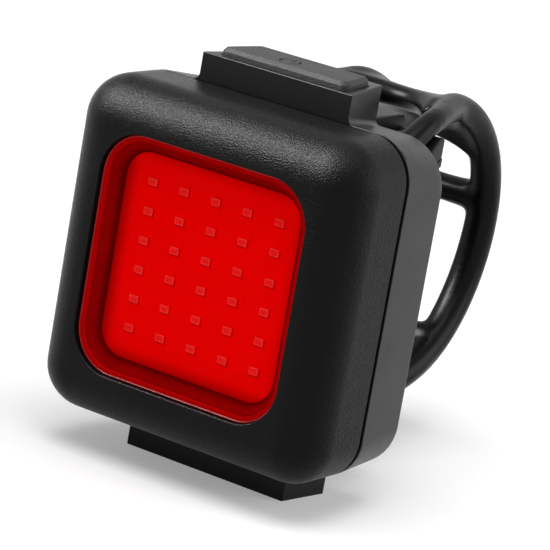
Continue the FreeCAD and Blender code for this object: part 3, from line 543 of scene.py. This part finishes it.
def shell_finish(case):
    return finish("grained black shell", case.front_colour, 0.29, specular=0.075,
                  grain=case.grain_size / MM, grain_depth=case.grain_depth / MM, roughen=0.8,
                  pit_shade=0.55, vary=0.10, cloud=9.0)


def rear_finish(case):
    return finish("satin black shell", case.rear_colour, 0.33, specular=0.13, grain=0.16,
                  grain_depth=0.010, vary=0.08, cloud=7.0)


def rubber_finish():
    return finish("black rubber", (0.010, 0.010, 0.0105), 0.55, specular=0.25, grain=0.12,
                  grain_depth=0.012, vary=0.10, cloud=5.0)


def steel_finish():
    return finish("plain steel", (0.60, 0.60, 0.61), 0.30, metallic=1.0, grain=0.10,
                  grain_depth=0.002, vary=0.06, cloud=1.5)


class Part:
    """Shared setting of the operators: they stay in the register and read the scene's sizes."""
    bl_options = {"REGISTER"}

    def execute(self, context):
        self.make(context.scene)
        return {"FINISHED"}


class TAILLIGHT_OT_front_case(Part, bpy.types.Operator):
    """Make the grained front half of the case with its soft edge and window opening"""
    bl_idname = "taillight.front_case"
    bl_label = "Front case"

    def make(self, scene):
        case = scene.taillight_case
        wall, lip = case.wall, case.lip_round
        front, back = FRONT_LO.y, FRONT_HI.y
        inner_y = front + case.window_depth
        hx, hz, mid = BODY_HALF_X, BODY_HALF_Z, BODY_MID_Z
        inner = (hx - wall, hz - wall, case.corner - wall)
        rings = [(*inner, inner_y, mid), (*inner, back, mid)]
        rings += reversed(round_edge(hx, hz, case.corner, front, back, lip, mid, LIP_STEPS))
        rings += round_edge(hx, hz, case.corner, back, front, case.front_round, mid, FRONT_STEPS)
        window = (case.window_half, case.window_half, case.window_corner)
        for step in range(LIP_STEPS + 1):
            angle = math.pi / 2 * step / LIP_STEPS
            grow = lip * (1 - math.sin(angle))
            rings.append((window[0] + grow, window[1] + grow, window[2] + grow,
                          front + lip * (1 - math.cos(angle)), WINDOW_Z))
        rings.append((*window, inner_y, WINDOW_Z))
        bm = bmesh.new()
        through(bm, rings, closed=True)
        show(bm, "front_case", shell_finish(case), "case", ["front_shell"])


class TAILLIGHT_OT_rear_case(Part, bpy.types.Operator):
    """Make the rear half of the case with the button's block and the port's block"""
    bl_idname = "taillight.rear_case"
    bl_label = "Rear case"

    def make(self, scene):
        case = scene.taillight_case
        bm = softened("rear_shell", case.part_edge)
        show(bm, "rear_case", rear_finish(case), "case", ["rear_shell"])
        seal = finish("seal rubber", (0.006, 0.006, 0.006), 0.7, specular=0.15, grain=0.15,
                      grain_depth=0.01)
        for node in ("case_seal", "lens_gasket", "stem_seal"):
            dress(node, seal)


class TAILLIGHT_OT_window(Part, bpy.types.Operator):
    """Make the red ring and its bead, the sloping walls, the floor, the clear cover and the LEDs"""
    bl_idname = "taillight.window"
    bl_label = "Window and LEDs"

    def make(self, scene):
        case, win = scene.taillight_case, scene.taillight_window
        self.face = FRONT_LO.y + win.rim_set
        self.half, self.corner = case.window_half, case.window_corner
        self.rim(win)
        self.walls(win)
        self.floor(win)
        self.cover(win)
        self.chips(win)

    def section(self, pairs, closed=True):
        """A mesh through the window's rings, from their insets and depths in millimetres."""
        rings = []
        for inset, depth in pairs:
            half = self.half - inset * MM
            rings.append((half, half, self.corner - inset * MM, self.face + depth * MM, WINDOW_Z))
        bm = bmesh.new()
        through(bm, rings, closed=closed, caps=(not closed, not closed))
        return bm

    def rim(self, win):
        inner = win.rim_width / MM + 0.1
        bm = self.section(((inner, 0.10), (inner - 0.06, 0.02), (inner - 0.16, 0.0), *RING_COLLAR,
                           (inner, 0.32)))
        # Painted glow brightens the flat ring beyond what the lamps give it
        red = finish("red ring with painted glow", win.rim_colour, 0.3, specular=0.0, vary=0.05, cloud=6.0,
                     painted_glow=0.20, painted_glow_colour=(0.6, 0.0, 0.0))
        show(bm, "window_ring", red, "case", ["lens"])
        gloss = finish("gloss red bead", (0.38, 0.010, 0.014), 0.22, specular=0.12, vary=0.05, cloud=6.0)
        show(self.section(BEAD), "window_bead", gloss, "case")

    def walls(self, win):
        foot = win.wall_foot / MM
        bm = self.section((*WALL_TOP, (2.0, foot - 0.04), (2.04, foot), (1.8, foot + 0.12),
                           (0.78, foot + 0.12)))
        # The walls' red is darker than the floor's partly as painted shade, and painted shade darkens it
        # further deeper in the recess; a faint painted glow lifts it
        red = finish("red wall with painted shade", win.wall_colour, 0.5, specular=0.0, vary=0.12, cloud=5.0,
                     painted_glow=0.05, painted_glow_colour=(0.5, 0.0, 0.0),
                     painted_shade=(0.30, 1.0, 2.0, self.face + 0.7 * MM, self.face + 1.75 * MM))
        show(bm, "window_walls", red, "case")

    def floor(self, win):
        depth = win.floor_depth / MM
        bm = self.section(((FLOOR_INSET, depth), (FLOOR_INSET, depth + FLOOR_THICK)), closed=False)
        # The floor's brightness is mostly painted glow, and painted shade darkens it near the walls
        red = finish("red floor with painted glow and shade", win.floor_colour, 0.6, specular=0.0, grain=0.5,
                     grain_depth=0.004, vary=0.03, cloud=6.0, painted_glow=0.42, painted_glow_colour=(0.75, 0.0, 0.0),
                     painted_shade=(0.62, self.half - 3.6 * MM, self.half - 1.6 * MM, 1.0, 2.0))
        show(bm, "window_floor", red, "case", ["light_tray"])

    def cover(self, win):
        clear = finish("clear red cover", (0.5, 0.0, 0.0), 0.05, specular=0.1, vary=0.02, cloud=20.0,
                       alpha=0.02)
        show(self.section(COVER, closed=False), "window_cover", clear, "case")

    def chips(self, win):
        lo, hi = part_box("led_chips")
        size = Vector((LED_SIZE[0], hi.y / MM - lo.y / MM, LED_SIZE[1])) * MM
        bm = bmesh.new()
        for column in range(LED_COUNT[0]):
            for row in range(LED_COUNT[1]):
                across = (column - (LED_COUNT[0] - 1) / 2) * LED_PITCH[0]
                up = WINDOW_Z + (row - (LED_COUNT[1] - 1) / 2) * LED_PITCH[1]
                self.chip(bm, win, Vector((across, (lo.y + hi.y) / 2, up)), size)
        # Painted glow brightens the LED frames and middles beyond what the lamps give them
        frame_red = finish("LED frame", win.chip_colour, 0.5, specular=0.0, vary=0.05, cloud=1.0,
                           painted_glow=0.40, painted_glow_colour=(0.8, 0.02, 0.02))
        centre_red = finish("LED centre", (0.55, 0.010, 0.009), 0.5, specular=0.0, vary=0.05,
                            cloud=1.0, painted_glow=0.38, painted_glow_colour=(0.75, 0.003, 0.003))
        # Painted shadow: the dark red of the plate under each LED
        painted_shadow_red = finish("LED painted shadow", (0.42, 0.0005, 0.0005), 0.6, specular=0.0, vary=0.03, cloud=1.0,
                          painted_glow=0.25, painted_glow_colour=(0.75, 0.0, 0.0))
        show(bm, "leds", [frame_red, centre_red, painted_shadow_red], "case", ["led_chips"],
             weighted=False)

    def chip(self, bm, win, centre, size):
        """One LED: a block with a frame round its face, on a slightly larger dark plate that is its
        painted shadow.
        """
        place = Matrix.Translation(centre) @ Matrix.Diagonal((*size, 1))
        cube = bmesh.ops.create_cube(bm, size=1, matrix=place)
        faces = {face for vert in cube["verts"] for face in vert.link_faces}
        front = min(faces, key=lambda face: face.calc_center_median().y)
        edges = list(front.edges)
        bmesh.ops.inset_individual(bm, faces=[front], thickness=LED_FRAME, depth=LED_PRESS)
        front.material_index = 1
        bmesh.ops.bevel(bm, geom=edges, offset=win.chip_edge, offset_type="OFFSET", segments=2,
                        profile=0.5, affect="EDGES", clamp_overlap=False, material=-1)
        # A dark red plate under the LED, shifted right and down, is a painted shadow
        painted_shadow_y = self.face + win.floor_depth
        foot = Matrix.Translation((centre.x + PAINTED_SHADOW_SHIFT[0], painted_shadow_y, centre.z + PAINTED_SHADOW_SHIFT[1]))
        foot @= Matrix.Diagonal((size.x + PAINTED_SHADOW_MARGIN[0], PAINTED_SHADOW_THICK, size.z + PAINTED_SHADOW_MARGIN[1], 1))
        cube = bmesh.ops.create_cube(bm, size=1, matrix=foot)
        for face in {face for vert in cube["verts"] for face in vert.link_faces}:
            face.material_index = 2


class TAILLIGHT_OT_button(Part, bpy.types.Operator):
    """Make the rubber button with its engraved on-off mark"""
    bl_idname = "taillight.button"
    bl_label = "Button"

    def make(self, scene):
        case = scene.taillight_case
        bm = softened("power_button", case.button_edge)
        grey = finish("button rubber", case.button_colour, 0.55, specular=0.25, grain=0.13,
                      grain_depth=0.045, pit_shade=0.6, vary=0.10, cloud=3.0)
        show(bm, "button_pad", grey, "button", ["power_button"])


class TAILLIGHT_OT_port_cover(Part, bpy.types.Operator):
    """Make the rubber cover under the charging port"""
    bl_idname = "taillight.port_cover"
    bl_label = "Port cover"

    def make(self, scene):
        bm = softened("port_cover", scene.taillight_case.cover_edge)
        show(bm, "port_flap", rubber_finish(), "cover", ["port_cover"])


class TAILLIGHT_OT_mount(Part, bpy.types.Operator):
    """Make the saddle block on the back and its rubber lining"""
    bl_idname = "taillight.mount"
    bl_label = "Mount block"

    def make(self, scene):
        case = scene.taillight_case
        bm = softened("mount_block", case.block_edge)
        block = finish("block plastic", case.block_colour, 0.42, specular=0.18, grain=0.2,
                       grain_depth=0.012, vary=0.10, cloud=6.0)
        show(bm, "saddle_block", block, "case", ["mount_block"])
        dress("saddle_pad", rubber_finish())


def evaluated(holder):
    """The finished mesh of a helper object, which is removed."""
    bpy.context.scene.collection.objects.link(holder)
    bpy.context.view_layer.update()
    mesh = bpy.data.meshes.new_from_object(
        holder.evaluated_get(bpy.context.evaluated_depsgraph_get()))
    bpy.data.objects.remove(holder)
    return mesh


def rope(name, points, radii):
    """A tube along a smooth curve through a route, with a radius at each point, as a mesh."""
    curve = bpy.data.curves.new(name, "CURVE")
    curve.dimensions = "3D"
    spline = curve.splines.new("NURBS")
    spline.points.add(len(points) - 1)
    for target, place, radius in zip(spline.points, points, radii):
        target.co = (*place, 1.0)
        target.radius = radius / MM
    spline.order_u = 3
    spline.use_endpoint_u = True
    spline.resolution_u = 10
    curve.bevel_depth = MM
    curve.bevel_resolution = 6
    curve.use_fill_caps = True
    return evaluated(bpy.data.objects.new(name, curve))


class TAILLIGHT_OT_strap(Part, bpy.types.Operator):
    """Make the silicone strap: two rails, a curved plate, two rungs, two eyes and the free end"""
    bl_idname = "taillight.strap"
    bl_label = "Strap"

    def make(self, scene):
        self.strap = strap = scene.taillight_strap
        parts = [self.rail(side) for side in (-1, 1)]
        parts += [self.rung(angle) for angle in RUNG_ANGLES]
        parts += [self.bow(*edge) for edge in (FRONT_BOW, BACK_BOW)]
        bm = bmesh.new()
        for mesh in parts:
            bm.from_mesh(mesh)
            bpy.data.meshes.remove(mesh)
        for side in (-1, 1):
            self.eye(bm, side)
        self.plate(bm, *PLATE_ANGLES)
        self.tongue(bm)
        rough = bpy.data.meshes.new("strap rough")
        bm.to_mesh(rough)
        bm.free()
        holder = bpy.data.objects.new("strap rough", rough)
        joined = holder.modifiers.new("Join", "REMESH")
        joined.mode = "VOXEL"
        joined.voxel_size = strap.voxel
        bm = bmesh.new()
        bm.from_mesh(evaluated(holder))
        for _ in range(SMOOTHING):
            bmesh.ops.smooth_vert(bm, verts=bm.verts, factor=0.5, use_axis_x=True, use_axis_y=True,
                                  use_axis_z=True)
        silicone = finish("black silicone", strap.strap_colour, strap.shine, specular=0.08,
                          grain=0.22, grain_depth=0.010, vary=0.10, cloud=7.0, dust=0.02)
        piece = show(bm, "strap", silicone, None, ["strap_loop", "strap_tail"],
                     sharp=180.0, weighted=False)
        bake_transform(piece)

    def at(self, x, y, z):
        """A place given in millimetres from the middle of the seat post."""
        return Vector((x * MM, POST_Y + y * MM, POST_Z + z * MM))

    def on_ring(self, angle, radius, x):
        """A place at an angle and a radius round the seat post, and x to the side."""
        turn = math.radians(angle)
        return Vector((x, POST_Y + radius * math.cos(turn), POST_Z + radius * math.sin(turn)))

    def opened(self, angle):
        """Nothing at the rails' waist behind the post and one at the top of the ring."""
        return math.sin(math.radians(OPENING_RATE * (angle - WAIST_ANGLE))) ** 2

    def rail_x(self, angle):
        """How far a rail runs from the middle at an angle."""
        return self.strap.side + self.strap.spread * self.opened(angle)

    def rail(self, side):
        """A rail from its eye over the top, round behind the post and into the free end."""
        strap = self.strap
        points, radii = [], []

        def route(table):
            for x, y, z, radius in table:
                points.append(self.at(side * x, y, z))
                radii.append(radius * MM)

        route(NEAR_ROOT if side > 0 else FAR_ROOT)
        start, end = RAIL_ANGLES
        step = (start - end) / RAIL_STEPS
        for index in range(RAIL_STEPS + 1):
            angle = start - index * step
            opened = self.opened(angle)
            centre = (strap.ring + RAIL_SWELL * opened) / math.cos(math.radians(step / 2))
            points.append(self.on_ring(angle, centre, side * self.rail_x(angle)))
            radii.append(strap.rail - RAIL_THIN * opened)
        route(RAIL_TAIL)
        return rope("rail", points, radii)

    def rung(self, angle):
        """A rung between the rails, which sags a little towards the post and thickens at its ends."""
        strap = self.strap
        points, radii = [], []
        for x, drop, grow in RUNG_ROUTE:
            points.append(self.on_ring(angle, strap.ring - drop * RUNG_SAG * MM, x * self.rail_x(angle)))
            radii.append(strap.rung * grow)
        return rope("rung", points, radii)

    def bow(self, angle, sweep, radius):
        """A bowed edge of the plate, which runs out along the rails at its ends."""
        points = [self.on_ring(angle + sweep * abs(x) ** 2, self.strap.ring - PLATE_SET,
                               x * self.rail_x(angle)) for x in BOW_ROUTE]
        return rope("bow", points, [radius * MM] * len(points))

    def plate(self, bm, first, last):
        """The curved plate between the rails, spun round the seat post, with its ends bowed."""
        strap = self.strap
        before = set(bm.verts)
        half = strap.side + strap.spread
        centre = Vector((0, POST_Y, POST_Z))
        place = Matrix.Translation(self.on_ring(first, strap.ring - PLATE_SET, 0.0))
        place @= Matrix.Rotation(math.radians(first), 4, "X")
        place @= Matrix.Diagonal((half, strap.plate_thick / 2, 1, 1))
        made = bmesh.ops.create_grid(bm, x_segments=8, y_segments=2, size=1, matrix=place)
        faces = list({face for vert in made["verts"] for face in vert.link_faces})
        for vert in made["verts"]:
            aside = abs(vert.co.x) / half
            outward = Vector((0, *(vert.co - centre).yz))
            rise = PLATE_DISH * aside ** 2 + PLATE_LIFT if outward.length > strap.ring else 0.0
            vert.co += outward.normalized() * rise * MM
        bmesh.ops.spin(bm, geom=faces, cent=centre, axis=(1, 0, 0), angle=math.radians(last - first),
                       steps=8, use_merge=False, use_normal_flip=False, use_duplicate=False)
        for vert in [vert for vert in bm.verts if vert not in before]:
            reach = vert.co - centre
            along = (math.degrees(math.atan2(reach.z, reach.y)) - last) / (first - last)
            turn = (FRONT_BOW[1] * along + BACK_BOW[1] * (1 - along)) * (reach.x / half) ** 2
            bmesh.ops.rotate(bm, cent=centre, verts=[vert],
                             matrix=Matrix.Rotation(math.radians(turn), 3, "X"))

    def eye(self, bm, side):
        """The round end of a rail, which the pin runs through."""
        x, y, z = EYE_PLACE
        place = Matrix.Translation(self.at(side * x, y, z)) @ Matrix.Rotation(math.pi / 2, 4, "Y")
        bmesh.ops.create_cone(bm, cap_ends=True, segments=32, radius1=EYE_RADIUS, radius2=EYE_RADIUS,
                              depth=EYE_WIDTH, matrix=place)

    def tongue(self, bm):
        """The flat free end with an eye for the hook and a finger tab, from five blocks."""
        for low, high in TONGUE:
            low, high = self.at(*low), self.at(*high)
            place = Matrix.Translation((low + high) / 2) @ Matrix.Diagonal((*(high - low), 1))
            bmesh.ops.create_cube(bm, size=1, matrix=place)


class TAILLIGHT_OT_hardware(Part, bpy.types.Operator):
    """Give the pins, the screws and the parts inside the case their finishes"""
    bl_idname = "taillight.hardware"
    bl_label = "Hardware and inside"

    def make(self, scene):
        for node in ("case_screws", "board_screws", "cover_pin", "bracket_screws", "strap_pin"):
            dress(node, steel_finish())
        port = finish("port steel", (0.55, 0.55, 0.56), 0.25, metallic=1.0, grain=0.1,
                      grain_depth=0.001, vary=0.05, cloud=2.0)
        chip = finish("chip black", (0.015, 0.015, 0.016), 0.45, grain=0.08, grain_depth=0.003,
                      cloud=2.0)
        white = finish("white board", (0.78, 0.78, 0.76), 0.4, grain=0.2, grain_depth=0.002, vary=0.03)
        finishes = {
            "led_board": white,
            "battery_cell": finish("cell foil", (0.62, 0.62, 0.64), 0.32, metallic=0.9, grain=0.6,
                                   grain_depth=0.02, vary=0.05, cloud=4.0),
            "battery_foam": finish("grey foam", (0.10, 0.10, 0.11), 0.9, specular=0.1, grain=0.3,
                                   grain_depth=0.05, cloud=3.0),
            "battery_plug": finish("white plastic", (0.72, 0.71, 0.66), 0.4, grain=0.1,
                                   grain_depth=0.003, vary=0.03, cloud=2.0),
            "battery_leads": finish("red wire", (0.45, 0.012, 0.010), 0.4, grain=0.1,
                                    grain_depth=0.002, vary=0.06, cloud=2.0),
            "control_board": finish("green board", (0.012, 0.10, 0.035), 0.35, grain=0.25,
                                    grain_depth=0.003, vary=0.12, cloud=2.5),
            "control_chips": chip,
            "usb_tongue": chip,
            "switch_plunger": chip,
            "led_cable": finish("amber film", (0.42, 0.17, 0.03), 0.35, grain=0.3, grain_depth=0.002,
                                vary=0.08, cloud=2.0),
            "usb_socket": port,
            "tact_switch": port,
        }
        for node, material in finishes.items():
            dress(node, material)


class TAILLIGHT_OT_stage(Part, bpy.types.Operator):
    """Set up the pale floor, the soft lamps, the white background and the camera"""
    bl_idname = "taillight.stage"
    bl_label = "Stage"

    def make(self, scene):
        stage = scene.taillight_stage
        self.floor(stage)
        self.world(scene, stage)
        self.lamp("key lamp", stage.key, place=(0.04, -0.12, 0.52), target=(0, 0, 0.02),
                  size=(0.42, 0.42))
        self.lamp("side lamp", stage.side, place=(0.50, 0.30, 0.22), target=(0, 0, 0.025),
                  size=(0.40, 0.40))
        self.lamp("fill lamp", stage.fill, place=(-0.46, -0.10, 0.22), target=(0, 0, 0.025),
                  size=(0.20, 0.40))
        card = self.lamp("edge card", stage.edge, place=(-0.30, -0.30, 0.42), target=(0, -0.01, 0.03),
                         size=(0.34, 0.28))
        card.visible_diffuse = False  # it shows in reflections alone
        self.camera(scene, stage)
        scene.view_settings.view_transform = "Standard"

    def lamp(self, name, power, place, target, size):
        """A flat lamp at a place, turned to a target, with its two sides."""
        data = bpy.data.lights.new(name, "AREA")
        data.shape = "RECTANGLE"
        data.size, data.size_y = size
        data.energy = power
        lamp = bpy.data.objects.new(name, data)
        lamp.location = place
        lamp.rotation_euler = (Vector(target) - Vector(place)).to_track_quat("-Z", "Y").to_euler()
        bpy.context.scene.collection.objects.link(lamp)
        return lamp

    def seen_rays(self, tree):
        """One for rays of the camera, of reflections and of transmission, nothing for the rest."""
        rays = add(tree, "LightPath")
        both = add(tree, "Math", operation="MAXIMUM")
        tree.links.new(rays.outputs["Is Camera Ray"], both.inputs[0])
        tree.links.new(rays.outputs["Is Glossy Ray"], both.inputs[1])
        every = add(tree, "Math", operation="MAXIMUM")
        tree.links.new(both.outputs[0], every.inputs[0])
        tree.links.new(rays.outputs["Is Transmission Ray"], every.inputs[1])
        return every.outputs[0]

    def world(self, scene, stage):
        """Soft light from all round, and a white background for seen rays."""
        world = bpy.data.worlds.new("white studio")
        world.use_nodes = True
        tree = world.node_tree
        tree.nodes.clear()
        shader = add(tree, "Background")
        tree.links.new(shader.outputs[0], add(tree, "OutputWorld").inputs["Surface"])
        shown = mix_colours(tree, self.seen_rays(tree), (stage.ambient,) * 3, (1.0, 1.0, 1.0))
        tree.links.new(shown, shader.inputs["Color"])
        scene.world = world

    def floor(self, stage):
        """A wide pale floor that keeps the shadow and fades to white away from the lamp."""
        bm = bmesh.new()
        bmesh.ops.create_circle(bm, cap_ends=True, segments=96, radius=6.0)
        mesh = bpy.data.meshes.new("floor")
        bm.to_mesh(mesh)
        bm.free()
        floor = bpy.data.objects.new("floor", mesh)
        bpy.context.scene.collection.objects.link(floor)
        pale = bpy.data.materials.new("pale floor")
        pale.use_nodes = True
        tree = pale.node_tree
        tree.nodes.clear()
        shader = add(tree, "BsdfPrincipled", Roughness=1.0)
        shader.inputs["Base Color"].default_value = (*stage.floor_colour, 1.0)
        shader.inputs["Specular IOR Level"].default_value = 0.0
        shader.inputs["Emission Color"].default_value = (1.0, 1.0, 1.0, 1.0)
        reach = add(tree, "VectorMath", operation="LENGTH")
        tree.links.new(add(tree, "TexCoord").outputs["Object"], reach.inputs[0])
        far = add(tree, "MapRange", interpolation_type="SMOOTHSTEP", From_Min=LIFT_NEAR,
                  From_Max=LIFT_FAR, To_Min=stage.floor_lift, To_Max=LIFT_MOST)
        tree.links.new(reach.outputs["Value"], far.inputs["Value"])
        lift = add(tree, "Math", operation="MULTIPLY")
        tree.links.new(self.seen_rays(tree), lift.inputs[0])
        tree.links.new(far.outputs["Result"], lift.inputs[1])
        tree.links.new(lift.outputs[0], shader.inputs["Emission Strength"])
        tree.links.new(shader.outputs[0], add(tree, "OutputMaterial").inputs["Surface"])
        mesh.materials.append(pale)

    def camera(self, scene, stage):
        """The camera, placed from the window's middle by its angles, distance and shifts."""
        az, el, roll = stage.azimuth, stage.elevation, stage.roll
        back = Vector((math.sin(az) * math.cos(el), -math.cos(az) * math.cos(el), math.sin(el)))
        level = Vector((0, 0, 1)).cross(back).normalized()
        upright = back.cross(level)
        right = math.cos(roll) * level + math.sin(roll) * upright
        top = -math.sin(roll) * level + math.cos(roll) * upright
        data = bpy.data.cameras.new("camera")
        data.lens = stage.lens
        data.sensor_width = SENSOR
        data.clip_start, data.clip_end = 0.01, 50.0
        camera = bpy.data.objects.new("camera", data)
        window = Vector((0, FRONT_LO.y + scene.taillight_window.rim_set, WINDOW_Z))
        place = window + stage.distance * back + stage.aside * right + stage.lift * top
        camera.matrix_world = Matrix((
            (right.x, top.x, back.x, place.x),
            (right.y, top.y, back.y, place.y),
            (right.z, top.z, back.z, place.z),
            (0, 0, 0, 1)))
        scene.collection.objects.link(camera)
        scene.camera = camera


class TAILLIGHT_PT_parts(bpy.types.Panel):
    """Lists the tail light's parts and their sizes"""
    bl_label = "Tail light"
    bl_idname = "TAILLIGHT_PT_parts"
    bl_space_type = "VIEW_3D"
    bl_region_type = "UI"
    bl_category = "Tail light"

    def draw(self, context):
        layout = self.layout
        for operator in PARTS:
            layout.operator(operator.bl_idname)
        for name, kind in SETTINGS:
            box = layout.box()
            box.label(text=kind.__doc__)
            settings = getattr(context.scene, name)
            for prop in kind.__annotations__:
                box.prop(settings, prop)


PARTS = (TAILLIGHT_OT_front_case, TAILLIGHT_OT_rear_case, TAILLIGHT_OT_window, TAILLIGHT_OT_button,
         TAILLIGHT_OT_port_cover, TAILLIGHT_OT_mount, TAILLIGHT_OT_strap, TAILLIGHT_OT_hardware,
         TAILLIGHT_OT_stage)
SETTINGS = (("taillight_case", TaillightCase), ("taillight_window", TaillightWindow),
            ("taillight_strap", TaillightStrap), ("taillight_stage", TaillightStage))


def register():
    for name, kind in SETTINGS:
        bpy.utils.register_class(kind)
        setattr(bpy.types.Scene, name, bpy.props.PointerProperty(type=kind))
    for operator in PARTS:
        bpy.utils.register_class(operator)
    bpy.utils.register_class(TAILLIGHT_PT_parts)


def unregister():
    bpy.utils.unregister_class(TAILLIGHT_PT_parts)
    for operator in reversed(PARTS):
        bpy.utils.unregister_class(operator)
    for name, kind in reversed(SETTINGS):
        delattr(bpy.types.Scene, name)
        bpy.utils.unregister_class(kind)


def main():
    register()
    for operator in PARTS:
        group, name = operator.bl_idname.split(".")
        getattr(getattr(bpy.ops, group), name)()


if __name__ == "__main__":
    main()
